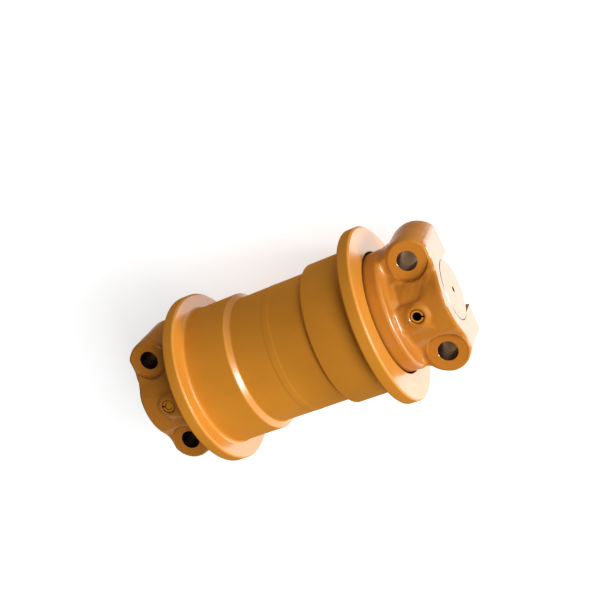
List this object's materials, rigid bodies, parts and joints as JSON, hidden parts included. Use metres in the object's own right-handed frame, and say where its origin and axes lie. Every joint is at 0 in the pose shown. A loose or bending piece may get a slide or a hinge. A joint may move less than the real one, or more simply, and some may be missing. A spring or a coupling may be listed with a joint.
{
  "type": "track roller",
  "caption": "Double-flanged crawler bottom roller on a fixed axle, with an end collar at each side whose lugs bolt up under the track frame.",
  "frame": {"origin": "centre of the roller, on the axle's axis, midway between the two flanges", "axes": "+Y along the axle towards the end without the fill plug, +Z towards the side the bolt heads sit on, so the mounting pads face -Z; X is the direction the machine travels"},
  "size_m": [0.22, 0.416, 0.22],
  "materials": {
    "shell_paint": "satin yellow-orange enamel over machined steel",
    "weld_paint": "satin enamel over a dressed friction weld",
    "collar_paint": "satin yellow-orange enamel over a cast surface",
    "pin_paint": "enamel overspray on spring steel",
    "ground_steel": "ground, end faces overpainted",
    "plug_steel": "machined, oiled",
    "seal_iron": "lapped hard iron",
    "bronze_lining": "machined bronze on steel backing",
    "seal_rubber": "matt nitrile"
  },
  "bodies": {
    "axle_assembly": {"shaft": "ground_steel", "collar_right": "collar_paint", "collar_left": "collar_paint", "spring_pin_right": "pin_paint", "spring_pin_left": "pin_paint", "fill_plug": "plug_steel", "shaft_o_ring_right": "seal_rubber", "shaft_o_ring_left": "seal_rubber", "seal_ring_fixed_right": "seal_iron", "seal_toric_fixed_right": "seal_rubber", "seal_ring_fixed_left": "seal_iron", "seal_toric_fixed_left": "seal_rubber"},
    "rolling_shell": {"shell_half_right": "shell_paint", "shell_half_left": "shell_paint", "weld_seam": "weld_paint", "bushing_right": "bronze_lining", "bushing_left": "bronze_lining", "seal_ring_turning_right": "seal_iron", "seal_toric_turning_right": "seal_rubber", "seal_ring_turning_left": "seal_iron", "seal_toric_turning_left": "seal_rubber"}
  },
  "joints": [
    {"name": "shell_spin", "type": "hinge", "parent": "axle_assembly", "child": "rolling_shell", "pos_m": [0, 0, 0], "axis": [0, 1, 0], "continuous": true}
  ]
}
